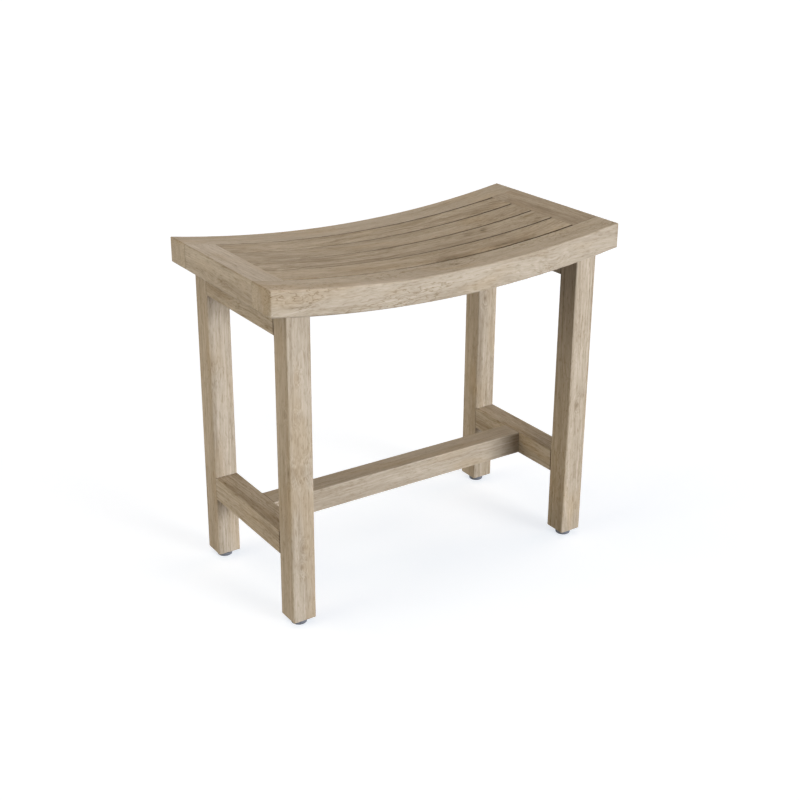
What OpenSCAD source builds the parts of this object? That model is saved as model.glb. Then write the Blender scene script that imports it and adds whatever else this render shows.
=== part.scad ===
// Teak shower bench: a saddle seat of four slats in a butt-jointed frame, on four square
// legs with end aprons, an H of low stretchers and four screw-in levelling feet.
// The origin is on the floor under the middle of the seat. +X runs along the seat,
// the front of the bench faces -Y and +Z is up.

/* [Seat] */
// Length of the seat over its end rails
seat_l = 610; // [560:1:660]
// Depth of the seat over its long rails
seat_d = 307; // [290:1:330]
// Height of the seat's ends above the floor
seat_h = 535; // [440:1:560]
// How far the middle of the seat lies below its ends
seat_sag = 25.5; // [10:0.5:35]
// Thickness of the seat frame, square to its curve
frame_t = 38.5; // [34:0.5:42]
// Width of each long rail
rail_w = 50.5; // [48:0.5:54]
// Width of each end rail
end_rail_w = 48.5; // [46:0.5:54]

/* [Slats] */
// Thickness of the slats, square to their curve
slat_t = 20; // [16:0.5:22]
// Drain gap beside each slat
slat_gap = 3; // [2:0.5:6]

/* [Legs and rails] */
// Side of each square leg
leg_s = 38; // [34:0.5:40]
// Distance from the seat's end to the outer face of a leg
leg_inset_end = 31; // [26:0.5:34]
// Distance from the seat's front or back to the outer face of a leg
leg_inset_side = 13; // [10:0.5:14]
// Height of the aprons' lower edge above the floor
apron_bottom = 451; // [420:1:452]
// Height of the stretchers' upper face above the floor
stretcher_top = 148; // [120:1:200]
// Height of the stretchers' section
stretcher_h = 37; // [34:0.5:42]

/* [Edges] */
// Radius of the eased outer edges
ease = 2.5; // [1.5:0.1:3]
// Radius of the lightly eased edges beside the slats and joints
soft_ease = 1.2; // [0.6:0.1:1.5]
// Flat planed on the end edges of the seat and on the foot of each leg
end_chamfer = 1.6; // [1:0.1:2]

/* [Feet] */
// Height of the legs' lower ends above the floor, feet screwed right in
foot_h = 10; // [9.5:0.1:12]
// Diameter of the round foot pads
pad_d = 24; // [22:0.5:26]
// Thickness of the foot pads
pad_h = 6.2; // [6:0.1:6.4]
// Diameter of the threaded studs
stud_d = 8; // [8:0.1:8]

/* [Hidden] */

// Every mirrored piece is modelled at +X and +Y and turned to its own place
CORNERS = [["front_left", -1, -1], ["front_right", 1, -1], ["back_left", -1, 1], ["back_right", 1, 1]];
ENDS = [["left", -1], ["right", 1]];
SIDES = [["front", -1], ["back", 1]];
SLATS = ["front_slat", "front_inner_slat", "back_inner_slat", "back_slat"];

// The seat's upper face is an arc about a level axis high above the bench
half_l = seat_l / 2;
half_d = seat_d / 2;
top_r = (half_l * half_l + seat_sag * seat_sag) / (2 * seat_sag);
under_r = top_r + frame_t;
axis_z = seat_h - seat_sag + top_r;
arc_reach = half_l + 20;
arc_steps = 1440;

inner_l = half_l - end_rail_w;
inner_d = half_d - rail_w;
slat_w = (2 * inner_d - (len(SLATS) + 1) * slat_gap) / len(SLATS);

leg_x = half_l - leg_inset_end - leg_s / 2;
leg_y = half_d - leg_inset_side - leg_s / 2;
leg_in_x = leg_x - leg_s / 2;
leg_in_y = leg_y - leg_s / 2;
stretcher_bottom = stretcher_top - stretcher_h;

// Joinery: mortises are wider than their tenons by the glue line and deeper by the end gap
glue = 0.1;
end_gap = 0.5;
leg_tenon = 20;
leg_tenon_top = leg_top(leg_x) + 22;
end_tenon_l = 22;
end_tenon_x = [leg_x + leg_tenon / 2 + 5, half_l - 11];
end_tenon_r = [top_r + 13, top_r + 25];
tongue_l = 12;
tongue_w = slat_w - 12;
tongue_r = [top_r + 6, top_r + 14];
apron_tenon = [10, 14, 26];
apron_tenon_z = apron_bottom + 6;
stretcher_tenon = [12, 18, 26];
stretcher_tenon_z = stretcher_bottom + (stretcher_h - stretcher_tenon[2]) / 2;
center_tenon_l = 16;

batten_w = 40;
batten_tongue_l = 12;
batten_tongue_w = 28;
batten_tongue_r = [top_r + slat_t + 5, top_r + slat_t + 13];

screw_r = 2;
screw_head_r = 4;
screw_head_h = 2.6;
screw_l = 30;
screw_fit = 0.05;

// Feet: the stud turns in the insert, and its ball end turns in the pad
stud_fit = 0.05;
stud_r = stud_d / 2;
stud_top = foot_h + 30;
collar_af = 13;
collar_gap = 0.3;
collar_z = [pad_h + collar_gap, foot_h - collar_gap];
neck_r = 3;
neck_fit = 0.4;
ball_r = 5;
ball_z = [2.2, 4.4];
ball_fit = 0.1;
pad_edge = 1.5;
insert_r = 5.5;
insert_l = 20;
flange_r = 8;
flange_t = 1.5;
stud_way_r = stud_r + 0.5;
stud_way_top = stud_top + 3;

function leg_top(x) = axis_z - sqrt(under_r * under_r - x * x);
function seat_top(x) = axis_z - sqrt(top_r * top_r - x * x);
// Angle about the seat's axis of a place along its upper face
function turn(x) = asin(x / top_r);
function slat_y(i) = -inner_d + slat_gap + slat_w / 2 + i * (slat_w + slat_gap);

// Rectangle from the origin with its own radius at each corner, anticlockwise
module eased_rect(w, h, r) {
    centres = [[r[0], r[0]], [w - r[1], r[1]], [w - r[2], h - r[2]], [r[3], h - r[3]]];
    polygon([
        [r[0], 0], [w - r[1], 0], [w, r[1]], [w, h - r[2]],
        [w - r[2], h], [r[3], h], [0, h - r[3]], [0, r[0]]
    ]);
    for (i = [0:3]) {
        if (r[i] > 0) {
            translate(centres[i]) circle(r = r[i], $fn = 32);
        }
    }
}

// Bar bent to the seat's curve, between two radii, two places across the seat and two
// places along its upper face; its ends are square to the curve.
// Edge radii run: upper near, lower near, lower far, upper far.
module bent_bar(r, y, x, edges = [0, 0, 0, 0]) {
    from = turn(x[0]);
    to = turn(x[1]);
    translate([0, 0, axis_z])
    rotate([-90, 0, 0])
    rotate([0, 0, 90 - to])
    rotate_extrude(angle = to - from, $fn = arc_steps)
    translate([r[0], y[0]])
    eased_rect(r[1] - r[0], y[1] - y[0], edges);
}

// What the sawn and eased ends leave of the seat: plumb end faces, planed end edges
// and rounded upright corners
module seat_envelope() {
    inner = half_l - 60;
    outer = half_l - end_chamfer;
    right = [
        [inner, leg_top(0) - 40],
        [outer, leg_top(outer)],
        [half_l, leg_top(half_l) + end_chamfer],
        [half_l, seat_h - end_chamfer],
        [outer, seat_top(outer)],
        [inner, seat_h + 60]
    ];
    left = [for (i = [len(right) - 1:-1:0]) [-right[i][0], right[i][1]]];
    intersection() {
        translate([0, half_d, 0])
        rotate([90, 0, 0])
        linear_extrude(seat_d)
        polygon(concat(right, left));
        translate([-half_l, -half_d, 0])
        linear_extrude(seat_h + 100)
        eased_rect(seat_l, seat_d, [ease, ease, ease, ease]);
    }
}

module at(sx, sy) {
    mirror([sx < 0 ? 1 : 0, 0, 0]) mirror([0, sy < 0 ? 1 : 0, 0]) children();
}

// Box centred in X and Y on a point, standing on a height, grown by the given slack
module centred_box(x, y, z, size, slack = 0) {
    translate([x - size[0] / 2 - slack, y - size[1] / 2 - slack, z - slack])
    cube([size[0] + 2 * slack, size[1] + 2 * slack, size[2] + 2 * slack]);
}

// ---- Joints: each tenon is drawn once and its mortise is the same shape with slack ----

module leg_tenon_up(slack, over) {
    base = leg_top(leg_in_x) - 8;
    centred_box(leg_x, leg_y, base, [leg_tenon + 2 * slack, leg_tenon + 2 * slack, leg_tenon_top + over - base]);
}

module end_rail_tenon(slack, over) {
    bent_bar(
        [end_tenon_r[0] - slack, end_tenon_r[1] + slack],
        [inner_d - 1, inner_d + end_tenon_l + over],
        [end_tenon_x[0] - slack, end_tenon_x[1] + slack]
    );
}

module slat_tongue(i, slack, over) {
    bent_bar(
        [tongue_r[0] - slack, tongue_r[1] + slack],
        [slat_y(i) - tongue_w / 2 - slack, slat_y(i) + tongue_w / 2 + slack],
        [inner_l - 1, inner_l + tongue_l + over]
    );
}

module batten_tongue(slack, over) {
    bent_bar(
        [batten_tongue_r[0] - slack, batten_tongue_r[1] + slack],
        [inner_d - 1, inner_d + batten_tongue_l + over],
        [-batten_tongue_w / 2 - slack, batten_tongue_w / 2 + slack]
    );
}

// Tenon that runs from a bar into the leg's inner face; size is [thickness, length, height]
module side_tenon(size, z, slack, over) {
    translate([leg_x - size[0] / 2 - slack, leg_in_y - 1, z - slack])
    cube([size[0] + 2 * slack, size[1] + 1 + over, size[2] + 2 * slack]);
}

module center_tenon(slack, over) {
    translate([leg_in_x - 1, -stretcher_tenon[0] / 2 - slack, stretcher_tenon_z - slack])
    cube([center_tenon_l + 1 + over, stretcher_tenon[0] + 2 * slack, stretcher_tenon[2] + 2 * slack]);
}

// ---- Seat ----

// Long rail: full length, with mortises for the legs, the end rails and the batten
module long_rail() {
    color([0.66, 0.58, 0.48])
    difference() {
        intersection() {
            bent_bar(
                [top_r, under_r], [inner_d, half_d], [-arc_reach, arc_reach],
                [soft_ease, soft_ease, ease, ease]
            );
            seat_envelope();
        }
        for (sx = [-1, 1]) {
            at(sx, 1) leg_tenon_up(glue, end_gap);
            at(sx, 1) end_rail_tenon(glue, end_gap);
        }
        batten_tongue(glue, end_gap);
    }
}

// End rail: butts between the long rails, with a tenon at each end and four slat mortises
module end_rail() {
    color([0.60, 0.52, 0.42])
    difference() {
        union() {
            intersection() {
                bent_bar([top_r, under_r], [-inner_d, inner_d], [inner_l, arc_reach]);
                seat_envelope();
            }
            for (sy = [-1, 1]) {
                at(1, sy) end_rail_tenon(0, 0);
            }
        }
        for (i = [0:len(SLATS) - 1]) {
            slat_tongue(i, glue, end_gap);
        }
    }
}

// Slat: bent to the seat's curve, a tongue at each end and a pilot hole for its screw
module slat(i) {
    color([0.56, 0.47, 0.37])
    difference() {
        union() {
            bent_bar(
                [top_r, top_r + slat_t],
                [slat_y(i) - slat_w / 2, slat_y(i) + slat_w / 2],
                [-inner_l, inner_l],
                [soft_ease, soft_ease, soft_ease, soft_ease]
            );
            for (sx = [-1, 1]) {
                at(sx, 1) slat_tongue(i, 0, 0);
            }
        }
        screw_shape(i, screw_fit);
    }
}

// Batten across the undersides of the slats, flush below with the long rails
module slat_batten() {
    color([0.58, 0.49, 0.39])
    difference() {
        union() {
            bent_bar([top_r + slat_t, under_r], [-inner_d, inner_d], [-batten_w / 2, batten_w / 2]);
            for (sy = [-1, 1]) {
                at(1, sy) batten_tongue(0, 0);
            }
        }
        for (i = [0:len(SLATS) - 1]) {
            screw_shape(i, screw_fit);
        }
    }
}

// Countersunk screw, driven up from under the batten, its head just below the wood
module screw_shape(i, slack) {
    head_z = axis_z - under_r + 0.4;
    translate([0, slat_y(i), head_z])
    rotate_extrude($fn = 48)
    polygon([
        [0, slack > 0 ? -1 : 0],
        [screw_head_r + slack, slack > 0 ? -1 : 0],
        [screw_head_r + slack, 0.4],
        [screw_r + slack, screw_head_h],
        [screw_r + slack, screw_l - 3],
        [0.4 + slack, screw_l + slack],
        [0, screw_l + slack]
    ]);
}

module batten_screws() {
    color([0.75, 0.75, 0.76])
    for (i = [0:len(SLATS) - 1]) {
        screw_shape(i, 0);
    }
}

// ---- Legs and rails ----

// Leg: eased square post, scribed to the rail's curve, with a stub tenon on top
module leg() {
    foot = [
        [end_chamfer, foot_h], [leg_s - end_chamfer, foot_h], [leg_s, foot_h + end_chamfer],
        [leg_s, seat_h], [0, seat_h], [0, foot_h + end_chamfer]
    ];
    color([0.62, 0.54, 0.44])
    difference() {
        union() {
            difference() {
                intersection() {
                    translate([leg_x - leg_s / 2, leg_in_y, 0])
                    linear_extrude(seat_h)
                    eased_rect(leg_s, leg_s, [ease, ease, ease, ease]);
                    translate([leg_x - leg_s / 2, leg_in_y + leg_s, 0])
                    rotate([90, 0, 0])
                    linear_extrude(leg_s)
                    polygon(foot);
                    translate([leg_x - leg_s / 2, leg_in_y, 0])
                    rotate([90, 0, 90])
                    linear_extrude(leg_s)
                    polygon(foot);
                }
                translate([0, 0, axis_z])
                rotate([90, 0, 0])
                cylinder(r = under_r, h = 2 * seat_d, center = true, $fn = arc_steps);
            }
            leg_tenon_up(0, 0);
        }
        side_tenon(apron_tenon, apron_tenon_z, glue, end_gap);
        side_tenon(stretcher_tenon, stretcher_tenon_z, glue, end_gap);
        translate([leg_x, leg_y, foot_h - 1])
        cylinder(r = flange_r + glue, h = flange_t + 1 + glue, $fn = 48);
        translate([leg_x, leg_y, foot_h - 1])
        cylinder(r = insert_r + glue, h = insert_l + 1 + glue, $fn = 48);
        translate([leg_x, leg_y, foot_h - 1])
        cylinder(r = stud_way_r, h = stud_way_top - foot_h + 1, $fn = 48);
    }
}

// Straight bar between the legs of one end, flush with their faces, tenoned into both
module side_bar(z, height, tenon, tenon_z) {
    translate([leg_x - leg_s / 2, leg_in_y, z])
    rotate([90, 0, 0])
    linear_extrude(2 * leg_in_y)
    eased_rect(leg_s, height, [soft_ease, soft_ease, soft_ease, soft_ease]);
    for (sy = [-1, 1]) {
        at(1, sy) side_tenon(tenon, tenon_z, 0, 0);
    }
}

// Apron: its upper edge is scribed to the underside of the end rail
module apron() {
    color([0.55, 0.46, 0.36])
    difference() {
        side_bar(apron_bottom, leg_top(half_l) - apron_bottom, apron_tenon, apron_tenon_z);
        translate([0, 0, axis_z])
        rotate([90, 0, 0])
        cylinder(r = under_r, h = 2 * seat_d, center = true, $fn = arc_steps);
    }
}

module side_stretcher() {
    color([0.60, 0.51, 0.41])
    difference() {
        side_bar(stretcher_bottom, stretcher_h, stretcher_tenon, stretcher_tenon_z);
        center_tenon(glue, end_gap);
    }
}

module center_stretcher() {
    color([0.63, 0.54, 0.44])
    union() {
        translate([-leg_in_x, -leg_s / 2, stretcher_bottom])
        rotate([90, 0, 90])
        linear_extrude(2 * leg_in_x)
        eased_rect(leg_s, stretcher_h, [soft_ease, soft_ease, soft_ease, soft_ease]);
        for (sx = [-1, 1]) {
            at(sx, 1) center_tenon(0, 0);
        }
    }
}

// ---- Levelling feet ----

// Flanged insert with the bore that the stud's thread runs in
module insert() {
    color([0.72, 0.62, 0.36])
    translate([leg_x, leg_y, foot_h])
    difference() {
        union() {
            cylinder(r = insert_r, h = insert_l, $fn = 48);
            cylinder(r = flange_r, h = flange_t, $fn = 48);
        }
        translate([0, 0, -1]) cylinder(r = stud_r + stud_fit, h = insert_l + 2, $fn = 48);
    }
}

// Stud: ball end in the pad, neck, hex collar for a spanner, threaded shank
module stud() {
    color([0.70, 0.71, 0.72])
    translate([leg_x, leg_y, 0])
    union() {
        translate([0, 0, ball_z[0]]) cylinder(r = ball_r, h = ball_z[1] - ball_z[0], $fn = 48);
        translate([0, 0, ball_z[0]]) cylinder(r = neck_r, h = collar_z[0] - ball_z[0] + 1, $fn = 48);
        translate([0, 0, collar_z[0]])
        cylinder(r = collar_af / sqrt(3), h = collar_z[1] - collar_z[0], $fn = 6);
        translate([0, 0, collar_z[0]]) cylinder(r = stud_r, h = stud_top - 1 - collar_z[0], $fn = 48);
        translate([0, 0, stud_top - 1]) cylinder(r1 = stud_r, r2 = stud_r - 1, h = 1, $fn = 48);
    }
}

// Pad: round, with softened edges, and a socket that holds the stud's ball end
module pad() {
    r = pad_d / 2;
    color([0.36, 0.38, 0.42])
    translate([leg_x, leg_y, 0])
    difference() {
        rotate_extrude($fn = 64)
        difference() {
            union() {
                translate([0, 0]) square([r - pad_edge, pad_h]);
                translate([0, pad_edge]) square([r, pad_h - 2 * pad_edge]);
                for (z = [pad_edge, pad_h - pad_edge]) {
                    translate([r - pad_edge, z]) circle(r = pad_edge, $fn = 32);
                }
            }
            translate([-1, ball_z[0] - ball_fit])
            square([ball_r + ball_fit + 1, ball_z[1] - ball_z[0] + 2 * ball_fit]);
            translate([-1, ball_z[0]]) square([neck_r + neck_fit + 1, pad_h]);
        }
    }
}

for (s = SIDES) {
    at(1, s[1]) long_rail();
}
for (e = ENDS) {
    at(e[1], 1) end_rail();
    at(e[1], 1) apron();
    at(e[1], 1) side_stretcher();
}
for (i = [0:len(SLATS) - 1]) {
    slat(i);
}
slat_batten();
batten_screws();
center_stretcher();
for (c = CORNERS) {
    at(c[1], c[2]) leg();
    at(c[1], c[2]) insert();
    at(c[1], c[2]) pad();
    at(c[1], c[2]) stud();
}
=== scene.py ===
import math
from dataclasses import dataclass
from typing import NamedTuple

import bmesh
import bpy
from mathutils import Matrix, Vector

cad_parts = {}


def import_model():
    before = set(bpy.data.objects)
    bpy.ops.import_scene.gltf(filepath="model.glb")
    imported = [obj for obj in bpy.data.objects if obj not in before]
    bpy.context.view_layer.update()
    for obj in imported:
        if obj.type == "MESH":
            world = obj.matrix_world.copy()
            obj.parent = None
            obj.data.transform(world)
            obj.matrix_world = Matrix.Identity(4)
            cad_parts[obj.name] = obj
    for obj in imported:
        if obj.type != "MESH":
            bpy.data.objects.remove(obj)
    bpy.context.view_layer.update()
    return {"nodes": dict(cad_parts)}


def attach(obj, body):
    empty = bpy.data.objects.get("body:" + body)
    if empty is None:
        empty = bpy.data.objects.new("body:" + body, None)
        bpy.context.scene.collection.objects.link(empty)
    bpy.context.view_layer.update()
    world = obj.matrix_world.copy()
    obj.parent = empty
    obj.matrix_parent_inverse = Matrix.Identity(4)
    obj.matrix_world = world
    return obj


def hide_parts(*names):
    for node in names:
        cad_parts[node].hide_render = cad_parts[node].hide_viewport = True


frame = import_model()
nodes = frame["nodes"]

# ---- Sizes shared with the solids, in metres ----

# half the seat's length and depth, outside its frame and inside it
HALF_L, HALF_D = 0.305, 0.1535
INNER_L, INNER_D = 0.2565, 0.103
# height of the seat's ends, dip of its middle, thickness of its frame
SEAT_H, SAG, FRAME_T = 0.535, 0.0255, 0.0385
# radius of the arc that the seat's top follows, and height of that arc's axis
TOP_R = (HALF_L**2 + SAG**2) / (2 * SAG)
AXIS_Z = SEAT_H - SAG + TOP_R
# middle of a leg, and half its width
LEG_X, LEG_Y, LEG_HALF = 0.255, 0.1215, 0.019
APRON_Z = (0.451, 0.493)
STRETCHER_Z = (0.111, 0.148)
SLAT_W, SLAT_GAP = 0.04775, 0.003
CORNERS = {"front_left": (-1, -1), "front_right": (1, -1), "back_left": (-1, 1), "back_right": (1, 1)}
SLATS = ["front_slat", "front_inner_slat", "back_inner_slat", "back_slat"]


def slat_y(i):
    return -INNER_D + SLAT_GAP + SLAT_W / 2 + i * (SLAT_W + SLAT_GAP)


def middle_and_half(low, high):
    return ((low + high) / 2, (high - low) / 2)


# ---- Node helpers ----


class Tree:
    """Builds one node tree. A value is a number, a tuple or a socket."""

    def __init__(self, tree):
        self.nodes, self.links = tree.nodes, tree.links
        self.nodes.clear()

    def put(self, kind, values=None, **settings):
        node = self.nodes.new(kind)
        for key, value in settings.items():
            setattr(node, key, value)
        for key, value in (values or {}).items():
            if isinstance(value, bpy.types.NodeSocket):
                self.links.new(value, node.inputs[key])
            else:
                node.inputs[key].default_value = value
        return node

    def math(self, operation, *values, clamp=False):
        made = self.put("ShaderNodeMath", dict(enumerate(values)), operation=operation, use_clamp=clamp)
        return made.outputs[0]

    def vector(self, operation, *values):
        made = self.put("ShaderNodeVectorMath", dict(enumerate(values)), operation=operation)
        return made.outputs["Vector"]

    def join(self, x, y, z):
        return self.put("ShaderNodeCombineXYZ", {0: x, 1: y, 2: z}).outputs[0]

    def split(self, vector):
        return self.put("ShaderNodeSeparateXYZ", {0: vector}).outputs

    def noise(self, at, scale=1.0, detail=2.0, rough=0.5, colour=False):
        values = {"Vector": at, "Scale": scale, "Detail": detail, "Roughness": rough}
        return self.put("ShaderNodeTexNoise", values).outputs["Color" if colour else "Fac"]

    def ramp(self, value, low, high, to_low=0.0, to_high=1.0, smooth=True):
        """value taken from low..high to to_low..to_high, held at both ends."""
        return self.put(
            "ShaderNodeMapRange",
            {"Value": value, "From Min": low, "From Max": high, "To Min": to_low, "To Max": to_high},
            interpolation_type="SMOOTHSTEP" if smooth else "LINEAR",
        ).outputs[0]

    def mix(self, share, a, b):
        return self.put("ShaderNodeMix", {0: share, 6: a, 7: b}, data_type="RGBA").outputs[2]

    def times(self, *pairs):
        """Each value times its weight."""
        return [self.math("MULTIPLY", value, weight) for value, weight in pairs]

    def sum(self, *values):
        total = values[0]
        for value in values[1:]:
            total = self.math("ADD", total, value)
        return total

    def length(self, *parts):
        """The length of the line with these parts along two axes."""
        return self.math("SQRT", self.sum(*(self.math("MULTIPLY", part, part) for part in parts)))

    def off(self, value, place):
        """How far value is from place, either way."""
        return self.math("ABSOLUTE", self.math("SUBTRACT", value, place))

    def bump(self, height, strength, distance):
        values = {"Strength": strength, "Distance": distance, "Height": height}
        return self.put("ShaderNodeBump", values).outputs[0]

    def surface(self, **values):
        """A principled surface as the material's output; a socket's name has _ for each space."""
        named = {key.replace("_", " "): value for key, value in values.items()}
        shader = self.put("ShaderNodeBsdfPrincipled", named)
        self.put("ShaderNodeOutputMaterial", {"Surface": shader.outputs[0]})


def new_material(name):
    """A new material, and the Tree that its nodes go into."""
    material = bpy.data.materials.new(name)
    material.use_nodes = True
    return material, Tree(material.node_tree)


def rgba(colour):
    return (*colour, 1.0)


def dress(node, material):
    for place in nodes[node].material_slots:
        place.material = material


# ---- Wood ----

LIGHT = (0.520, 0.437, 0.335)
DARK = (0.279, 0.212, 0.139)
GOLD = (0.430, 0.325, 0.205)
# the dark brown of grime at the joints, and of the painted shade down in the seat's gaps and at the bars'
# joints with the legs
GRIME_AND_SHADE = (0.060, 0.036, 0.020)
# how far red, green and blue follow a mark's lightness, so that dark marks are brown
BROWNING = (0.88, 1.0, 1.24)
# how dark a knot's core is, and the power of BROWNING that makes it greyer than other marks
CORE_DARK, CORE_BROWNING = 0.26, 0.7
# the plain wood's place between LIGHT and DARK, the most that GOLD tints it, and its brightness
PLAIN, MOST_GOLD, BRIGHTNESS = 0.26, 0.55, 1.02
# how far apart the pieces of two seeds in a row are cut from the same timber
SEED_STEP = 0.37
# how far the fibres stray and a knot pushes them aside, and how far the rings and streaks follow the fibres
DRIFT, KNOT_BEND = 0.022, 0.006
RING_DRIFT, STREAK_DRIFT = 0.9, 0.8
# how much the trunk tapers, how many rings a knot pushes aside and how uneven the rings are
TAPER, KNOT_RINGS, RING_RIPPLE = 0.014, 3.5, 0.0030
# where a ring's late wood starts and ends, as shares of its width, and the darkness of the palest ring
LATE_START, LATE_END, PALEST_RING = 0.10, 0.88, 0.2
# a knot's width as a share of its length along the fibres
KNOT_WIDTH = 0.5
# where each starts to fade and has faded out, as shares of a knot's radius or a streak's half width
CORE_REACH, HALO_REACH, SWIRL_REACH, STREAK_REACH = (0.3, 1.1), (0.8, 3.5), (0.0, 8.0), (0.2, 1.0)
# the part of a face's normal along the fibres at which end grain starts to show, and shows in full
END_GRAIN = (0.75, 0.97)
# from where to where, left to right, the figure's fade runs
FADE_X = (-0.20, 0.20)
# width of the band that wears along an eased arris, and of the painted shade line round the seat's outer ends
ARRIS, END_SHADE_WIDTH = 0.0035, 0.0026
# how far from the ends' faces that painted shade line starts and is full
END_SHADE_REACH = (0.0034, 0.0008)
# how deep the painted light and shade on a face goes in full, and at all
PAINTED_LIGHT_DEPTH = (0.0005, 0.0030)
# the bleached front edge: its width in full and at all, its depth, and its run from full to none
BLEACH_Y, BLEACH_DEPTH, BLEACH_X = (0.004, 0.020), 0.0015, (-0.25, 0.16)
# the width beside a seam in which the grime and painted shade are full, and in which there is any
GRIME_AND_SHADE_WIDTH = (0.0002, 0.0010)
# on the seat, where down in its gaps it is painted shade: the depth from which it is full, where it grows
# from left to right, how near the back rail its left end starts to grow and is grown, and how near an outer
# face it fades
GAP_SHADE_DEPTH, GAP_SHADE_X, GAP_SHADE_BACK, GRIME_AND_SHADE_OUTSIDE = 0.0010, (-0.22, 0.24), (0.010, 0.005), 0.002
# its shares: on the seat's top, at its gaps' left ends (then the back gap's), on an outer face, and on a bar,
# where it is painted shade at the joints with the legs
TOP_GRIME_AND_SHADE, LEFT_GAP_SHADE, OUTSIDE_GRIME_AND_SHADE, BAR_PAINTED_SHADE = 0.10, (0.15, 0.60), 0.55, 0.5

# each noise: details to the metre along and across the fibres, octaves of finer detail, and their strength
NOISES = {
    "drift": (6, 16, 2.0, 0.55),
    "ripple": (16, 70, 2.0, 0.5),
    "broad": (5, 12, 2.0, 0.5),
    "band": (4, 48, 2.0, 0.5),
    "mottle": (42, 110, 3.0, 0.6),
    "strand": (5, 290, 2.0, 0.6),
    "fibre": (22, 680, 2.0, 0.6),
    "stain": (9, 85, 2.0, 0.5),
    "dash": (75, 430, 2.0, 0.55),
    "fleck": (48, 300, 2.0, 0.5),
    "pore": (110, 1300, 1.0, 0.5),
    "crack": (40, 170, 2.0, 0.5),
    "crack_zone": (9, 17, 1.0, 0.5),
    "wear": (30, 90, 2.0, 0.5),
    "gold": (7, 26, 2.0, 0.5),
}
# the two values of a noise between which a mark starts to show and is full (the other way round for a fleck)
EDGES = {
    "stain": (0.50, 0.68),
    "dash": (0.55, 0.66),
    "fleck": (0.34, 0.46),
    "pore": (0.60, 0.72),
    "crack_zone": (0.47, 0.60),
    "wear": (0.35, 0.60),
    "gold": (0.50, 0.72),
}
# how far from its middle value the cracks' noise makes a crack in full, and at all
CRACK_WIDTH = (0.004, 0.034)


class Knot(NamedTuple):
    """With a core and a halo of nought a knot only bends the grain."""

    place: tuple
    through: str  # the axis that it runs along
    radius: float
    core: float  # how dark its middle is
    halo: float  # how dark the wood round it is


class Streak(NamedTuple):
    """A dark stripe along the grain."""

    axis: int  # the axis across it
    place: float
    half: float  # half its width
    dark: float


class PaintedFaceLight(NamedTuple):
    """A flat face on which light and shade are painted: paler by one shift at height low and by another at
    high, and darker where a shift is below nought.
    """

    axis: int  # the axis that it faces along
    place: float
    low: float
    high: float
    low_painted_light: float
    high_painted_light: float


@dataclass
class Timber:
    """How one piece was cut, how it has weathered, and the light and shade painted on some of its faces."""

    grain: str  # the axis along the fibres
    pith: tuple  # the line that the rings go round: its place on the two other axes
    section: tuple = None  # the bar's (middle, half) on those two axes; None for a piece bent with the seat
    tone: tuple = (1, 1, 1)  # its red, green and blue as shares of the plain wood's
    ring: float = 0.0034  # width of a growth ring
    figure: float = 1.0  # contrast of the grain
    wander: float = 1.0  # how far the fibres stray
    marks: float = 1.0  # strength of the fine dark marks
    stains: float = 0.10  # strength of the brown patches
    checks: float = 0.0  # strength of the fine dark cracks
    knots: tuple = ()
    streaks: tuple = ()
    # flat faces with painted light and shade, low on a leg or on a stretcher's top
    faces: tuple = ()
    seams: tuple = ()  # (axis, distance from the middle) of each edge in a gap or joint, where grime and painted shade darken it
    bleach: float = 0.0  # how much paler the seat's front edge is at its left
    fade: tuple = (1.0, 1.0)  # the grain's contrast at the left and right, as shares of figure
    seed: int = 0


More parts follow.
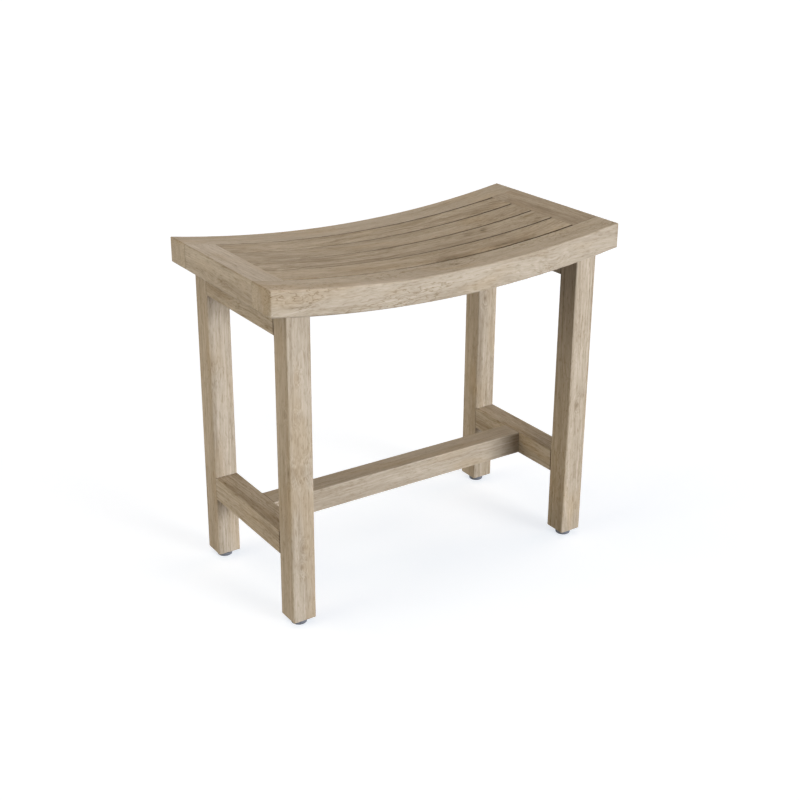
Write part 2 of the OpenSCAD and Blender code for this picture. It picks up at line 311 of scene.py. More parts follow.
class Teak:
    """The nodes of one piece of teak, a solid block whose grain runs on round every corner."""

    def __init__(self, tree, timber):
        self.t, self.timber = tree, timber
        place = self.t.put("ShaderNodeTexCoord").outputs
        self.xyz = self.t.split(place["Object"])
        self.normal = self.t.split(place["Normal"])
        self.along = "XYZ".index(timber.grain)
        across = [axis for axis in range(3) if axis != self.along]
        self.u, self.v, self.w = (self.xyz[axis] for axis in (self.along, *across))
        self.space = self.t.join(self.t.math("ADD", self.u, SEED_STEP * timber.seed), self.v, self.w)
        self.bent = timber.section is None
        if self.bent:
            drop = self.t.math("SUBTRACT", AXIS_Z, self.xyz[2])
            # how far below the seat's curved top this point is
            self.depth = self.t.math("SUBTRACT", self.t.length(self.xyz[0], drop), TOP_R)

    def noise(self, name, colour=False):
        fine_along, fine_across, detail, rough = NOISES[name]
        at = self.t.vector("MULTIPLY", self.space, (fine_along, fine_across, fine_across))
        return self.t.noise(at, 1.0, detail, rough, colour)

    def centred(self, name):
        return self.t.math("SUBTRACT", self.noise(name), 0.5)

    def patches(self, name, to_low=0.0, to_high=1.0):
        return self.t.ramp(self.noise(name), *EDGES[name], to_low, to_high)

    def outwards(self, axis):
        return self.t.math("ABSOLUTE", self.xyz[axis])

    def fading(self, away, size, reach, strength):
        """strength close by, and nought from far away; reach says from where to where it fades, in sizes."""
        return self.t.ramp(away, reach[0] * size, reach[1] * size, strength, 0.0)

    def add_knots(self):
        """A knot is longer along the fibres, which it pushes aside far beyond its halo."""
        t = self.t
        self.core, self.halo, self.swirl = 0.0, 0.0, 0.0
        for knot in self.timber.knots:
            parts = []
            for axis in range(3):
                if axis != "XYZ".index(knot.through):
                    part = t.math("SUBTRACT", self.xyz[axis], knot.place[axis])
                    parts.append(t.math("MULTIPLY", part, KNOT_WIDTH if axis == self.along else 1.0))
            away, radius = t.length(*parts), knot.radius
            self.core = t.math("MAXIMUM", self.core, self.fading(away, radius, CORE_REACH, knot.core))
            self.halo = t.math("MAXIMUM", self.halo, self.fading(away, radius, HALO_REACH, knot.halo))
            self.swirl = t.math("MAXIMUM", self.swirl, self.fading(away, radius, SWIRL_REACH, 1.0))

    def bend_fibres(self):
        """The fibres wander, more so near a knot. The noises made after this follow them."""
        t = self.t
        drift = t.put("ShaderNodeSeparateColor", {0: self.noise("drift", colour=True)}).outputs
        widest = DRIFT * self.timber.wander
        self.drift_v, self.drift_w = t.times(*((t.math("SUBTRACT", part, 0.5), widest) for part in drift[:2]))
        bend = t.math("MULTIPLY", self.swirl, KNOT_BEND)
        aside = t.join(0.0, t.math("ADD", self.drift_v, bend), t.math("ADD", self.drift_w, bend))
        self.space = t.vector("ADD", self.space, aside)

    def add_streaks(self):
        t = self.t
        for streak in self.timber.streaks:
            where = t.math("MULTIPLY_ADD", self.drift_w, STREAK_DRIFT, self.xyz[streak.axis])
            stripe = self.fading(t.off(where, streak.place), streak.half, STREAK_REACH, streak.dark)
            self.halo = t.math("MAXIMUM", self.halo, stripe)

    def add_rings(self):
        """Growth rings, each of its own darkness: the late wood darkens slowly and ends at a sharp line."""
        t, ring, pith = self.t, self.timber.ring, self.timber.pith
        off_v = t.math("SUBTRACT", t.math("MULTIPLY_ADD", self.drift_v, RING_DRIFT, self.v), pith[0])
        off_w = t.math("SUBTRACT", t.math("MULTIPLY_ADD", self.drift_w, RING_DRIFT, self.w), pith[1])
        uneven = ((self.u, TAPER), (self.swirl, KNOT_RINGS * ring), (self.centred("ripple"), RING_RIPPLE))
        turns = t.math("DIVIDE", t.sum(t.length(off_v, off_w), *t.times(*uneven)), ring)
        phase = t.math("FRACT", turns)
        darkens, ends = t.ramp(phase, LATE_START, LATE_END), t.ramp(phase, LATE_END, 1.0, 1.0, 0.0)
        number = t.math("FLOOR", turns)
        each = t.put("ShaderNodeTexWhiteNoise", {"W": number}, noise_dimensions="1D").outputs["Value"]
        darkness = t.ramp(each, 0.0, 1.0, PALEST_RING, 1.0, smooth=False)
        self.late = t.math("MULTIPLY", t.math("MULTIPLY", darkens, ends), darkness)

    def add_figure(self):
        """Slow changes along the fibres, each centred on nought."""
        self.broad, self.band = self.centred("broad"), self.centred("band")
        self.mottle, self.strand = self.centred("mottle"), self.centred("strand")

    def fade_figure(self):
        """The rings and the narrower changes, weaker or stronger from the left to the right."""
        if self.timber.fade != (1.0, 1.0):
            kept = self.t.ramp(self.xyz[0], *FADE_X, *self.timber.fade)
            faded = ((kept, value) for value in (self.late, self.band, self.mottle, self.strand))
            self.late, self.band, self.mottle, self.strand = self.t.times(*faded)

    def add_marks(self):
        """Fine marks: the fibres, centred on nought, and the others from 0 to 1."""
        self.fibre = self.centred("fibre")
        self.stain, self.dashes, self.pores = (self.patches(name) for name in ("stain", "dash", "pore"))
        self.flecks = self.patches("fleck", 1.0, 0.0)
        line = self.t.ramp(self.t.off(self.noise("crack"), 0.5), *CRACK_WIDTH, 1.0, 0.0)
        self.crack = self.t.math("MULTIPLY", line, self.patches("crack_zone"))

    def add_arrises(self):
        """The eased arrises wear in places, and those round the seat's outer ends carry a painted shade line.
        """
        t = self.t
        if self.bent:
            on_top = t.ramp(self.depth, 0.0, ARRIS, 1.0, 0.0)
            near = [on_top, t.ramp(self.outwards(1), HALF_D - ARRIS, HALF_D)]
        else:
            near = [
                t.ramp(t.off(where, middle), half - ARRIS, half)
                for where, (middle, half) in zip((self.v, self.w), self.timber.section)
            ]
        self.worn = t.math("MULTIPLY", t.math("MULTIPLY", *near), self.patches("wear"))
        self.painted_end_shade = self.painted_end_arris_shade() if self.bent else 0.0

    def painted_end_arris_shade(self):
        """The painted shade along the arrises round the seat's two outer ends."""
        t = self.t
        on_top = t.ramp(self.depth, 0.0, END_SHADE_WIDTH, 1.0, 0.0)
        on_side = t.ramp(self.outwards(1), HALF_D - END_SHADE_WIDTH, HALF_D)
        at_end = t.ramp(self.outwards(0), *(HALF_L - reach for reach in END_SHADE_REACH))
        return t.math("MULTIPLY", t.math("MAXIMUM", on_top, on_side), at_end)

    def plain_colour(self):
        """The colour from the rings, the figure and the knots' halos."""
        t, tone, figure = self.t, self.timber.tone, self.timber.figure
        light, dark, gold = (rgba([c * k for c, k in zip(base, tone)]) for base in (LIGHT, DARK, GOLD))
        # the rings stand out more on the end grain, which is also a little paler
        end = t.ramp(t.math("ABSOLUTE", self.normal[self.along]), *END_GRAIN)
        # each weight is how far its part takes the colour from LIGHT towards DARK
        tint = t.sum(
            PLAIN,
            *t.times(
                (self.late, t.math("MULTIPLY_ADD", end, 0.65, 0.34 * figure)),
                (end, -0.28),
                (self.strand, 1.00 * figure),
                (self.band, 0.90 * figure),
                (self.broad, 0.60),
                (self.mottle, 0.40 * figure),
                (self.halo, 0.40),
            ),
        )
        colour = t.mix(t.math("MINIMUM", t.math("MAXIMUM", tint, 0.0), 1.0), light, dark)
        return t.mix(self.patches("gold", 0.0, MOST_GOLD), colour, gold)

    def painted_face_light_and_bleach(self):
        """How much paler each face with painted light and shade is, and the bleached edge."""
        t = self.t
        shifts = []
        for face in self.timber.faces:
            on = t.ramp(t.off(self.xyz[face.axis], face.place), *PAINTED_LIGHT_DEPTH, 1.0, 0.0)
            paler = t.ramp(self.xyz[2], face.low, face.high, face.low_painted_light, face.high_painted_light)
            shifts.append(t.math("MULTIPLY", on, paler))
        if self.timber.bleach:
            outer = t.ramp(self.xyz[1], *(width - HALF_D for width in BLEACH_Y), self.timber.bleach, 0.0)
            on_top = t.ramp(self.depth, 0.0, BLEACH_DEPTH, 1.0, 0.0)
            leftwards = t.ramp(self.xyz[0], *BLEACH_X, 1.0, 0.0)
            shifts.append(t.math("MULTIPLY", t.math("MULTIPLY", outer, on_top), leftwards))
        return shifts

    def marked(self, colour):
        """The colour with its marks, arrises, painted shade round the seat's ends and painted light and shade
        on faces. The knots' cores brown it less than these.
        """
        t, marks = self.t, self.timber.marks
        # each weight is how much paler, or darker if below nought, its mark makes the colour
        mark = t.sum(
            *t.times(
                (self.fibre, 0.62 * marks),
                (self.dashes, -0.26 * marks),
                (self.flecks, 0.12 * marks),
                (self.pores, -0.18 * marks),
                (self.stain, -self.timber.stains),
                (self.crack, -0.42 * self.timber.checks),
                (self.worn, 0.08),
                # painted shade along the arrises round the seat's outer ends
                (self.painted_end_shade, -0.26),
            ),
            *self.painted_face_light_and_bleach(),
        )
        darks = [-CORE_DARK * share**CORE_BROWNING for share in BROWNING]
        cores = [t.math("MULTIPLY_ADD", self.core, dark, BRIGHTNESS) for dark in darks]
        shade = t.join(*(t.math("MULTIPLY_ADD", mark, share, core) for share, core in zip(BROWNING, cores)))
        return t.vector("MULTIPLY", colour, shade)

    def grime_and_shade(self):
        """How much grime and painted shade darken the wood: only close to its seams."""
        t, nearest = self.t, 1.0
        for axis, place in self.timber.seams:
            nearest = t.math("MINIMUM", nearest, t.off(self.outwards(axis), place))
        # on a bar it is painted shade at its joints with the legs
        share = self.seat_grime_and_shade() if self.bent else BAR_PAINTED_SHADE
        return t.math("MULTIPLY", t.ramp(nearest, *GRIME_AND_SHADE_WIDTH, 1.0, 0.0), share)

    def seat_grime_and_shade(self):
        """Little on the seat's top, most down in its gaps, where it is painted shade, and towards the right,
        and less on the outside.
        """
        t = self.t
        share = t.ramp(self.depth, 0.0, GAP_SHADE_DEPTH, TOP_GRIME_AND_SHADE, 1.0)
        at_left = t.ramp(self.xyz[1], *(INNER_D - width for width in GAP_SHADE_BACK), *LEFT_GAP_SHADE)
        share = t.math("MULTIPLY", share, t.ramp(self.xyz[0], *GAP_SHADE_X, at_left, 1.0))
        for axis, outside in ((0, HALF_L), (1, HALF_D)):
            fades = t.ramp(self.outwards(axis), outside - GRIME_AND_SHADE_OUTSIDE, outside, 1.0, OUTSIDE_GRIME_AND_SHADE)
            share = t.math("MULTIPLY", share, fades)
        return share

    def finish(self, colour, grime_and_shade):
        """Fibres and rings stand up a little, and the dark marks are hollows."""
        t = self.t
        height = t.sum(
            *t.times(
                (self.fibre, 0.9),
                (self.strand, 0.6),
                (self.dashes, -0.5),
                (self.pores, -0.7),
                (self.crack, -0.9 * self.timber.checks),
                (self.late, 0.25),
            )
        )
        uneven = ((self.strand, 0.18), (self.pores, 0.10), (self.worn, -0.08), (grime_and_shade, 0.30))
        t.surface(
            Base_Color=colour,
            Roughness=t.sum(0.64, *t.times(*uneven)),
            Specular_IOR_Level=0.3,
            Normal=t.bump(height, strength=0.35, distance=0.0004),
        )


def wood(name, timber):
    """The material of one piece of teak."""
    material, tree = new_material(name)
    teak = Teak(tree, timber)
    teak.add_knots()
    teak.bend_fibres()
    teak.add_streaks()
    teak.add_rings()
    teak.add_figure()
    teak.fade_figure()
    teak.add_marks()
    teak.add_arrises()
    colour, grime_and_shade = teak.marked(teak.plain_colour()), 0.0
    # grime and painted shade at the seams: darkest down in the seat's gaps and at the bars' joints with the
    # legs
    if timber.seams:
        grime_and_shade = teak.grime_and_shade()
        colour = tree.mix(grime_and_shade, colour, rgba(GRIME_AND_SHADE))
    teak.finish(colour, grime_and_shade)
    return material


# ---- The wood of each piece ----

# tones of the slats and batten, and of the legs, aprons and stretchers
SLAT, BASE = (0.90, 0.875, 0.83), (0.99, 0.985, 0.98)
# the seams of the seat's long sides and of its ends
SIDE_SEAM, END_SEAM = (1, INNER_D), (0, INNER_L)

RAIL_KNOTS = (
    Knot((0.175, -HALF_D, 0.494), "Y", 0.0026, 0.0, 0.0),
    Knot((-0.262, -HALF_D, 0.512), "Y", 0.0024, 0.3, 0.3),
    Knot((0.013, -0.1212, 0.510), "Z", 0.0036, 1.8, 0.3),
    Knot((0.020, -0.1233, 0.510), "Z", 0.0036, 1.8, 0.3),
)
END_KNOTS = (Knot((-HALF_L, 0.015, 0.504), "X", 0.0030, 0.2, 1.0),)
END_STREAKS = (Streak(2, 0.5085, 0.0100, 1.00), Streak(2, 0.4980, 0.0060, 0.60))
APRON_KNOTS = (Knot((-LEG_X - LEG_HALF, 0.050, 0.476), "X", 0.0060, 0.0, 0.7),)
SLAT_KNOTS = {
    "front_slat": (
        Knot((0.024, -0.0954, 0.510), "Z", 0.0040, 0.9, 1.2),
        Knot((0.037, -0.0950, 0.510), "Z", 0.0040, 0.9, 1.2),
        Knot((0.051, -0.0941, 0.510), "Z", 0.0040, 0.9, 1.2),
        Knot((0.121, -0.0905, 0.514), "Z", 0.0050, 1.0, 1.6),
        Knot((0.132, -0.0910, 0.514), "Z", 0.0050, 1.8, 1.8),
        Knot((0.143, -0.0915, 0.515), "Z", 0.0050, 1.0, 1.6),
        Knot((0.158, -0.0955, 0.516), "Z", 0.0044, 0.9, 1.6),
        Knot((0.169, -0.0965, 0.517), "Z", 0.0044, 0.9, 1.6),
    ),
    "front_inner_slat": (
        Knot((0.1520, -0.0110, 0.516), "Z", 0.0042, 1.8, 0.3),
        Knot((0.1475, -0.0174, 0.515), "Z", 0.0042, 2.0, 0.3),
        Knot((0.1436, -0.0244, 0.515), "Z", 0.0042, 1.2, 0.3),
        Knot((0.1245, -0.0157, 0.514), "Z", 0.0042, 1.4, 0.3),
        Knot((0.1190, -0.0149, 0.513), "Z", 0.0042, 1.5, 0.3),
        Knot((0.1149, -0.0209, 0.513), "Z", 0.0042, 1.2, 0.3),
        Knot((0.2410, -0.0356, 0.525), "Z", 0.0036, 1.1, 0.3),
    ),
    "back_inner_slat": (
        Knot((0.158, 0.0058, 0.516), "Z", 0.0036, 1.6, 0.3),
        Knot((0.186, 0.0138, 0.519), "Z", 0.0034, 1.3, 0.3),
    ),
}
LEG_KNOTS = {
    "front_left": (
        Knot((-0.274, -0.136, 0.255), "X", 0.0022, 1.0, 1.0),
        Knot((-0.274, -0.130, 0.342), "X", 0.0014, 0.3, 0.9),
        Knot((-0.258, -0.140, 0.397), "Y", 0.0013, 0.3, 0.8),
        Knot((-0.262, -0.140, 0.339), "Y", 0.0014, 0.4, 0.9),
        Knot((-0.255, -0.140, 0.132), "Y", 0.0015, 0.6, 0.8),
        Knot((-0.258, -0.140, 0.101), "Y", 0.0015, 0.6, 0.8),
    ),
    "front_right": (Knot((0.252, -0.140, 0.238), "Y", 0.0017, 1.0, 1.0),),
    "back_right": (Knot((0.249, 0.103, 0.351), "Y", 0.0016, 1.0, 1.0),),
}
# painted light and shade: on some legs' faces low down, and on the stretchers' tops, the side ones darker and
# the centre one paler
LEG_PAINTED_LIGHT = {
    "front_right": (PaintedFaceLight(0, LEG_X - LEG_HALF, 0.10, 0.46, -0.20, 0.07),),
    "back_left": (PaintedFaceLight(1, LEG_Y - LEG_HALF, 0.10, 0.30, 0.09, 0.0),),
    "back_right": (PaintedFaceLight(1, LEG_Y - LEG_HALF, 0.05, 0.25, -0.12, 0.0),),
}
SIDE_TOP_PAINTED_SHADE = (PaintedFaceLight(2, STRETCHER_Z[1], 0.0, 1.0, -0.06, -0.06),)
CENTRE_TOP_PAINTED_LIGHT = (PaintedFaceLight(2, STRETCHER_Z[1], 0.0, 1.0, 0.16, 0.16),)

# for each slat from the front: where its pith is from its middle, its lightness, its stains and its fade
SLAT_PITHS = (0.05, -0.06, 0.04, -0.05)
SLAT_LIGHTNESS = (1.05, 0.985, 0.965, 1.01)
SLAT_STAINS = (0.18, 0.26, 0.14, 0.26)
SLAT_FADES = ((0.55, 1.0), (1.6, 0.85), (1.05, 0.55), (1.0, 1.1))
# for each leg, in the order of CORNERS: where its pith is from its middle, and its lightness
LEG_PITHS = ((0.02, 0.07), (-0.05, 0.06), (0.06, 0.05), (-0.03, 0.08))
LEG_LIGHTNESS = (1.0, 1.12, 1.04, 1.04)


def scaled(tone, by):
    return tuple(channel * by for channel in tone)


def dress_rails():
    for name, side, knots, checks, bleach in (
        ("front_rail", -1, RAIL_KNOTS, 0.9, 0.20),
        ("back_rail", 1, (), 0.3, 0.0),
    ):
        timber = Timber(
            grain="X",
            pith=(side * 0.26, 0.50),
            ring=0.0036,
            figure=0.66,
            marks=0.72,
            checks=checks,
            knots=knots,
            seams=(SIDE_SEAM,),
            bleach=bleach,
            seed=2 + side,
        )
        dress(name, wood(f"teak_{name}", timber))


def dress_end_rails():
    """The left one is pale and broadly striped, the right one dark and strongly figured."""
    shared = {"grain": "Y", "wander": 0.8, "marks": 0.8, "seams": (SIDE_SEAM, END_SEAM)}
    left = Timber(
        pith=(-0.33, 0.42),
        tone=(1.12, 1.15, 1.21),
        ring=0.0036,
        figure=0.7,
        knots=END_KNOTS,
        streaks=END_STREAKS,
        seed=4,
        **shared,
    )
    right = Timber(
        pith=(0.27, 0.47),
        tone=(0.80, 0.770, 0.73),
        ring=0.0030,
        figure=1.2,
        checks=0.3,
        seed=5,
        **shared,
    )
    dress("left_end_rail", wood("teak_left_end_rail", left))
    dress("right_end_rail", wood("teak_right_end_rail", right))


def dress_slats():
    for i, name in enumerate(SLATS):
        timber = Timber(
            grain="X",
            pith=(slat_y(i) + SLAT_PITHS[i], 0.40),
            tone=scaled(SLAT, SLAT_LIGHTNESS[i]),
            ring=0.0032,
            figure=1.35,
            wander=0.8,
            stains=SLAT_STAINS[i],
            checks=0.35,
            knots=SLAT_KNOTS.get(name, ()),
            seams=(*((1, abs(slat_y(i) + side * SLAT_W / 2)) for side in (-1, 1)), END_SEAM),
            fade=SLAT_FADES[i],
            seed=7 + i,
        )
        dress(name, wood(f"teak_{name}", timber))


def dress_batten():
    timber = Timber(grain="Y", pith=(0.1, 0.4), tone=SLAT, ring=0.0032, seed=12)
    dress("slat_batten", wood("teak_slat_batten", timber))


def dress_legs():
    for i, (corner, (side_x, side_y)) in enumerate(CORNERS.items()):
        x, y = side_x * LEG_X, side_y * LEG_Y
        timber = Timber(
            grain="Z",
            pith=(x + LEG_PITHS[i][0], y + LEG_PITHS[i][1]),
            section=((x, LEG_HALF), (y, LEG_HALF)),
            tone=scaled(BASE, LEG_LIGHTNESS[i]),
            figure=1.1,
            wander=0.35,
            marks=0.74,
            stains=0.06,
            checks=0.4,
            knots=LEG_KNOTS.get(corner, ()),
            faces=LEG_PAINTED_LIGHT.get(corner, ()),
            seed=14 + i,
        )
        dress(f"{corner}_leg", wood(f"teak_{corner}_leg", timber))


def dress_end_bar(name, side, span, seed, knots=(), faces=()):
    """An apron or stretcher between the two legs of one end; span is its underside and top."""
    middle, half = middle_and_half(*span)
    timber = Timber(
        grain="Y",
        pith=(side * (LEG_X + 0.08), middle - 0.07),
        section=((side * LEG_X, LEG_HALF), (middle, half)),
        tone=BASE,
        ring=0.0032,
        figure=1.2,
        wander=0.6,
        marks=0.9,
        stains=0.20,
        checks=0.4,
        knots=knots,
        faces=faces,
        seams=((1, LEG_Y - LEG_HALF),),
        seed=seed,
    )
    dress(name, wood(f"teak_{name}", timber))


def dress_center_stretcher():
    timber = Timber(
        grain="X",
        pith=(0.09, 0.05),
        section=((0, LEG_HALF), middle_and_half(*STRETCHER_Z)),
        tone=scaled(BASE, 0.965),
        ring=0.0032,
        figure=0.8,
        wander=0.7,
        marks=0.62,
        checks=0.3,
        faces=CENTRE_TOP_PAINTED_LIGHT,
        seams=((0, LEG_X - LEG_HALF),),
        seed=25,
    )
    dress("center_stretcher", wood("teak_center_stretcher", timber))


dress_rails()
dress_end_rails()
dress_slats()
dress_batten()
dress_legs()
dress_end_bar("left_apron", -1, APRON_Z, seed=20, knots=APRON_KNOTS)
dress_end_bar("left_stretcher", -1, STRETCHER_Z, seed=21, faces=SIDE_TOP_PAINTED_SHADE)
dress_end_bar("right_apron", 1, APRON_Z, seed=22)
dress_end_bar("right_stretcher", 1, STRETCHER_Z, seed=23, faces=SIDE_TOP_PAINTED_SHADE)
dress_center_stretcher()


# ---- Metal and nylon ----

# details to the metre of metal's clouds and specks, and of its turning marks across and along the axis
METAL_CLOUD, METAL_SPECK, TURNING_MARKS = 260, 2400, (60, 60, 5200)
# between which values of the clouds metal is dulled, and to what share of its colour
DULL_EDGE, DULLED = (0.35, 0.68), 0.72
# details to the metre of nylon's clouds and grain, and between which values the clouds tint it
NYLON_CLOUD, NYLON_GRAIN, TINT_EDGE = 180, 3200, (0.3, 0.7)
# the height up to which nylon is scuffed, between which values of the clouds, and how much paler it is there
SCUFF_HEIGHT, SCUFF_EDGE, SCUFF_PALER = 0.0025, (0.40, 0.62), 1.9
# how much of that paler colour shows in a scuff, and at most elsewhere
SCUFF_SHARE, TINT_SHARE = 0.6, 0.2


def metal(name, colour, rough, grain):
    """Plated or turned metal: soft tone changes, turning marks as deep as grain and a little dulling."""
    material, t = new_material(name)
    at = t.put("ShaderNodeTexCoord").outputs["Object"]
    cloud = t.noise(at, METAL_CLOUD, 3.0)
    speck = t.noise(at, METAL_SPECK, 2.0)
    turned = t.noise(t.vector("MULTIPLY", at, TURNING_MARKS), 1.0, 1.0)
    darker = rgba([DULLED * c for c in colour])
    t.surface(
        Base_Color=t.mix(t.ramp(cloud, *DULL_EDGE), rgba(colour), darker),
        Metallic=1.0,
        Roughness=t.sum(rough, *t.times((cloud, 0.16), (speck, 0.06))),
        Normal=t.bump(t.sum(*t.times((turned, grain), (speck, 0.3))), strength=0.18, distance=0.00008),
    )
    return material


def nylon(name, colour):
    """Moulded nylon: matt, finely grained, faintly clouded, scuffed paler round the lower edge."""
    material, t = new_material(name)
    at = t.put("ShaderNodeTexCoord").outputs["Object"]
    grain = t.noise(at, NYLON_GRAIN, 2.0)
    cloud = t.noise(at, NYLON_CLOUD, 3.0)
    near_floor = t.ramp(t.split(at)[2], 0.0, SCUFF_HEIGHT, 1.0, 0.0)
    scuff = t.math("MULTIPLY", near_floor, t.ramp(cloud, *SCUFF_EDGE))
    paler = rgba([min(1.0, SCUFF_PALER * c + 0.01) for c in colour])
    clouded = t.ramp(cloud, *TINT_EDGE, 0.0, TINT_SHARE)
    share = t.math("ADD", t.math("MULTIPLY", scuff, SCUFF_SHARE), clouded, clamp=True)
    t.surface(
        Base_Color=t.mix(share, rgba(colour), paler),
        Roughness=t.sum(0.36, *t.times((grain, 0.12), (scuff, 0.18))),
        Specular_IOR_Level=0.45,
        Normal=t.bump(grain, strength=0.25, distance=0.0001),
    )
    return material


zinc = metal("zinc_plate", (0.62, 0.64, 0.68), 0.28, 0.6)
steel = metal("stainless", (0.62, 0.62, 0.63), 0.26, 0.5)
brass = metal("turned_brass", (0.72, 0.55, 0.26), 0.30, 0.8)
pad_nylon = nylon("pad_nylon", (0.120, 0.125, 0.140))
for corner in CORNERS:
    dress(f"{corner}_insert", brass)
    dress(f"{corner}_pad", pad_nylon)


# ---- Mesh helpers ----

# points round a turned shape, and the angle in degrees from which an edge stays sharp
ROUND_POINTS = 48
SHARP_ANGLE = 32


def polar(centre, radius, angle, z):
    return (centre[0] + radius * math.cos(angle), centre[1] + radius * math.sin(angle), z)


def loop_of(mesh, count, spot):
    return [mesh.verts.new(spot(2 * math.pi * k / count)) for k in range(count)]


def round_loop(mesh, centre, radius, z, count=ROUND_POINTS):
    return loop_of(mesh, count, lambda angle: polar(centre, radius, angle, z))


def skin(mesh, loops):
    """Faces between each loop and the next, which hold the same number of points."""
    for low, high in zip(loops, loops[1:]):
        for k in range(len(low)):
            n = (k + 1) % len(low)
            mesh.faces.new((low[k], low[n], high[n], high[k]))


def edges_of(mesh, loop):
    return [mesh.edges.get((loop[k], loop[(k + 1) % len(loop)])) for k in range(len(loop))]


def finish_piece(name, mesh, material, body, node):
    """Makes the mesh a piece that rides on body and stands in for node."""
    bmesh.ops.recalc_face_normals(mesh, faces=mesh.faces)
    for edge in mesh.edges:
        edge.smooth = len(edge.link_faces) == 2 and edge.calc_face_angle() < math.radians(SHARP_ANGLE)
    for face in mesh.faces:
        face.smooth = True
    data = bpy.data.meshes.new(name)
    mesh.to_mesh(data)
    mesh.free()
    data.materials.append(material)
    piece = bpy.data.objects.new(name, data)
    bpy.context.scene.collection.objects.link(piece)
    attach(piece, body)
    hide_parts(node)


# ---- Threaded studs ----

# the stud's ball end and neck, as (radius, height) from the bottom up
BALL_END = (
    (0.0044, 0.0022),
    (0.0050, 0.0026),
    (0.0050, 0.0040),
    (0.0046, 0.0044),
    (0.0031, 0.0044),
    (0.0030, 0.0047),
    (0.0030, 0.0064),
)
NECK_R = BALL_END[-1][0]
# half the collar across its flats, its underside and top, and where its corners are turned off, at 30 degrees
COLLAR_FLAT, COLLAR_LOW, COLLAR_HIGH = 0.0065, 0.0063, 0.0097
TURNED_R, TURNED_SLOPE, TURNED_EDGE = COLLAR_FLAT * 1.05, 0.577, 0.00002
# the thread's pitch and radii, half its crest's flat and its flank as shares of the pitch, and its run-outs
PITCH, CREST, ROOT = 0.00125, 0.00396, 0.00328
CREST_FLAT, FLANK = 0.0625, 0.31
SHANK_LOW, SHANK_HIGH = COLLAR_HIGH, 0.0400
RUN_OUT_LOW, RUN_OUT_HIGH = 0.0006, 0.0011
# points round the collar and round the thread, and the thread's rows to a turn
COLLAR_POINTS, THREAD_POINTS, THREAD_ROWS = 96, 40, 9


def held(share):
    """share, held between 0 and 1."""
    return min(max(share, 0.0), 1.0)


def add_ball_end(mesh, centre):
    """The ball end that turns in the pad, and the neck above it."""
    loops = [round_loop(mesh, centre, radius, z) for radius, z in BALL_END]
    skin(mesh, loops)
    mesh.faces.new(list(reversed(loops[0])))


def add_collar(mesh, centre):
    """A hexagon collar, its corners turned off above and below."""

    def wall(angle):
        return COLLAR_FLAT / math.cos((angle + math.pi / 6) % (math.pi / 3) - math.pi / 6)

    def on_wall(z, way):
        def spot(angle):
            radius = wall(angle)
            return polar(centre, radius, angle, z + way * max(0.0, radius - TURNED_R) * TURNED_SLOPE)

        return spot

    def on_face(z):
        return lambda angle: polar(centre, min(wall(angle), TURNED_R), angle, z)

    loops = [
        round_loop(mesh, centre, NECK_R, COLLAR_LOW, COLLAR_POINTS),
        loop_of(mesh, COLLAR_POINTS, on_face(COLLAR_LOW)),
        loop_of(mesh, COLLAR_POINTS, on_wall(COLLAR_LOW + TURNED_EDGE, 1)),
        loop_of(mesh, COLLAR_POINTS, on_wall(COLLAR_HIGH - TURNED_EDGE, -1)),
        loop_of(mesh, COLLAR_POINTS, on_face(COLLAR_HIGH)),
        round_loop(mesh, centre, ROOT, COLLAR_HIGH, COLLAR_POINTS),
    ]
    skin(mesh, loops)


def thread_radius(angle, z):
    """Radius of a right-hand 60 degree thread with flat crests, run out at both ends."""
    phase = (z / PITCH - angle / (2 * math.pi)) % 1.0
    fall = held((abs(phase - 0.5) - CREST_FLAT) / FLANK)
    lead = held((z - SHANK_LOW) / RUN_OUT_LOW) * held((SHANK_HIGH - z) / RUN_OUT_HIGH)
    return ROOT + (CREST - ROOT) * (1 - fall) * lead


def add_shank(mesh, centre):
    """The threaded shank, up to its flat top."""
    rows = round((SHANK_HIGH - SHANK_LOW) / (PITCH / THREAD_ROWS))

    def row_at(z):
        return loop_of(mesh, THREAD_POINTS, lambda angle: polar(centre, thread_radius(angle, z), angle, z))

    loops = [row_at(SHANK_LOW + (SHANK_HIGH - SHANK_LOW) * row / rows) for row in range(rows + 1)]
    skin(mesh, loops)
    mesh.faces.new(loops[-1])


def stud(corner, side_x, side_y):
    centre = (side_x * LEG_X, side_y * LEG_Y)
    mesh = bmesh.new()
    add_ball_end(mesh, centre)
    add_collar(mesh, centre)
    add_shank(mesh, centre)
    finish_piece(f"{corner}_threaded_stud", mesh, zinc, f"{corner}_screw", f"{corner}_stud")


for corner, sides in CORNERS.items():
    stud(corner, *sides)


# ---- The batten's screws ----

# how deep the heads are sunk into the batten's underside, and the height and radius of their faces
HEAD_SUNK = 0.0004
HEAD_Z = AXIS_Z - TOP_R - FRAME_T + HEAD_SUNK
HEAD_R = 0.00385
# the head's edge, its cone, the shank and the point, as (radius, height above the head's face)
SCREW = ((0.0040, 0.00012), (0.0040, 0.0004), (0.0020, 0.0024), (0.0020, 0.0270), (0.0003, 0.0300))
# the cross recess: reach and half width of its arms, its depth and how much smaller its floor is
CROSS_ARM, CROSS_HALF = 0.0023, 0.0006
CROSS_DEPTH, CROSS_FLOOR = 0.0017, 0.62


def cross_outline():
    """The cross from one inner corner round, a quarter at a time."""
    corner = [(CROSS_HALF, CROSS_HALF), (CROSS_HALF, CROSS_ARM), (-CROSS_HALF, CROSS_ARM)]
    outline = []
    for _ in range(4):
        outline += corner
        corner = [(-y, x) for x, y in corner]
    return outline


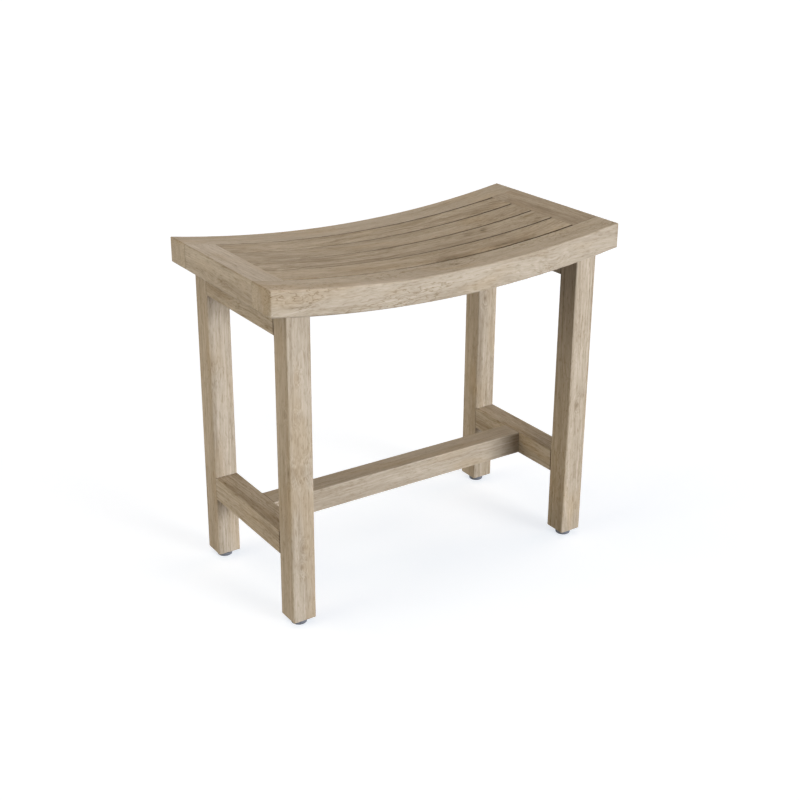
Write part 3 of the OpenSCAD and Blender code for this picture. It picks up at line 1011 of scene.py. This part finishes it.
def add_screw(mesh, centre):
    """One countersunk screw, its face down, with a cross recess in its head."""
    rim = round_loop(mesh, centre, HEAD_R, HEAD_Z)
    loops = [rim] + [round_loop(mesh, centre, radius, HEAD_Z + z) for radius, z in SCREW]
    skin(mesh, loops)
    mesh.faces.new(loops[-1])

    def cross(size, z):
        return [mesh.verts.new((centre[0] + size * x, centre[1] + size * y, z)) for x, y in cross_outline()]

    mouth = cross(1, HEAD_Z)
    bottom = cross(CROSS_FLOOR, HEAD_Z + CROSS_DEPTH)
    skin(mesh, [bottom, mouth])
    mesh.faces.new(bottom)
    bmesh.ops.triangle_fill(mesh, use_beauty=True, edges=edges_of(mesh, rim) + edges_of(mesh, mouth))


def batten_screws():
    mesh = bmesh.new()
    for i in range(len(SLATS)):
        add_screw(mesh, (0.0, slat_y(i)))
    finish_piece("batten_screw_set", mesh, steel, "bench", "batten_screws")


batten_screws()


# ---- Floor and surround ----

# half the floor's width
FLOOR_HALF = 30
# what the floor sends back to the bench; and what is seen of it, where a faint bluish shadow is kept
FLOOR_BOUNCE = (0.40, 0.40, 0.41)
FLOOR_SHADOW, FLOOR_GLOW = (0.60, 0.565, 0.50), (0.632, 0.680, 0.748)
SURROUND, WHITE = (0.125, 0.118, 0.108), (1, 1, 1)


def is_seen(t):
    """1 for what is seen, straight or in a reflection, and 0 for what only lights the bench."""
    path = t.put("ShaderNodeLightPath").outputs
    seen = t.math("MAXIMUM", path["Is Camera Ray"], path["Is Glossy Ray"])
    return t.math("MAXIMUM", seen, path["Is Transmission Ray"])


def floor():
    """A pale floor that is seen white."""
    corners = [(x * FLOOR_HALF, y * FLOOR_HALF, 0) for x, y in ((-1, -1), (1, -1), (1, 1), (-1, 1))]
    data = bpy.data.meshes.new("floor")
    data.from_pydata(corners, [], [(0, 1, 2, 3)])
    piece = bpy.data.objects.new("floor", data)
    bpy.context.scene.collection.objects.link(piece)
    material, t = new_material("floor_white")
    bounce = t.put("ShaderNodeBsdfDiffuse", {"Color": rgba(FLOOR_BOUNCE)})
    shadow = t.put("ShaderNodeBsdfDiffuse", {"Color": rgba(FLOOR_SHADOW)})
    glow = t.put("ShaderNodeEmission", {"Color": rgba(FLOOR_GLOW), "Strength": 1.0})
    shown = t.put("ShaderNodeAddShader", {0: shadow.outputs[0], 1: glow.outputs[0]})
    both = t.put("ShaderNodeMixShader", {0: is_seen(t), 1: bounce.outputs[0], 2: shown.outputs[0]})
    t.put("ShaderNodeOutputMaterial", {"Surface": both.outputs[0]})
    data.materials.append(material)


def world():
    """White where the camera looks past the floor, and a soft surround that lights the bench."""
    made = bpy.data.worlds.new("studio")
    bpy.context.scene.world = made
    made.use_nodes = True
    t = Tree(made.node_tree)
    soft = t.put("ShaderNodeBackground", {"Color": rgba(SURROUND), "Strength": 1.0})
    white = t.put("ShaderNodeBackground", {"Color": rgba(WHITE), "Strength": 1.0})
    both = t.put("ShaderNodeMixShader", {0: is_seen(t), 1: soft.outputs[0], 2: white.outputs[0]})
    t.put("ShaderNodeOutputWorld", {"Surface": both.outputs[0]})


# ---- Lamps and camera ----

# Each lamp: where its light comes from, as degrees round from the front and up; the brightness of a white
# surface that faces it; its colour; and its apparent size in degrees.
LAMPS = [
    ("key", (18, 5.5), 1.30, (0.945, 1.0, 1.09), 28),
    ("left", (-95, 14), 0.37, (1.05, 1.0, 0.87), 32),
    ("right", (90, 15), 0.18, (1.3, 1.0, 0.7), 40),
    ("back_left", (-130, 45), 0.12, (1.2, 1.0, 0.7), 40),
    ("overhead", (0, 88), 0.17, (1.0, 1.0, 1.05), 60),
]
# how far from the bench a lamp's object stands, which makes no difference to its light
LAMP_DISTANCE = 3
# the photo's view: where it is taken from, degrees down and to the right, lens and shift
CAMERA_AT = (-1.08935, -1.62546, 1.08609)
CAMERA_DOWN, CAMERA_RIGHT = 21.860, 32.852
SENSOR, LENS, SHIFT = 36, 60.26, (0.02978, -0.03341)


def lamp(name, turn, level, colour, size):
    round_from_front, up = (math.radians(angle) for angle in turn)
    towards = Vector(
        (
            math.sin(round_from_front) * math.cos(up),
            -math.cos(round_from_front) * math.cos(up),
            math.sin(up),
        )
    )
    data = bpy.data.lights.new(name, "SUN")
    data.energy = level * math.pi
    data.color = colour
    data.angle = math.radians(size)
    made = bpy.data.objects.new(name, data)
    made.rotation_euler = towards.to_track_quat("Z", "Y").to_euler()
    made.location = LAMP_DISTANCE * towards
    bpy.context.scene.collection.objects.link(made)


def camera():
    data = bpy.data.cameras.new("camera")
    data.sensor_width = SENSOR
    data.lens = LENS
    data.shift_x, data.shift_y = SHIFT
    made = bpy.data.objects.new("camera", data)
    made.location = CAMERA_AT
    made.rotation_euler = (math.radians(90 - CAMERA_DOWN), 0, math.radians(-CAMERA_RIGHT))
    bpy.context.scene.collection.objects.link(made)
    bpy.context.scene.camera = made


floor()
world()
for each in LAMPS:
    lamp(*each)
camera()
bpy.context.scene.view_settings.view_transform = "Standard"

bpy.context.view_layer.update()
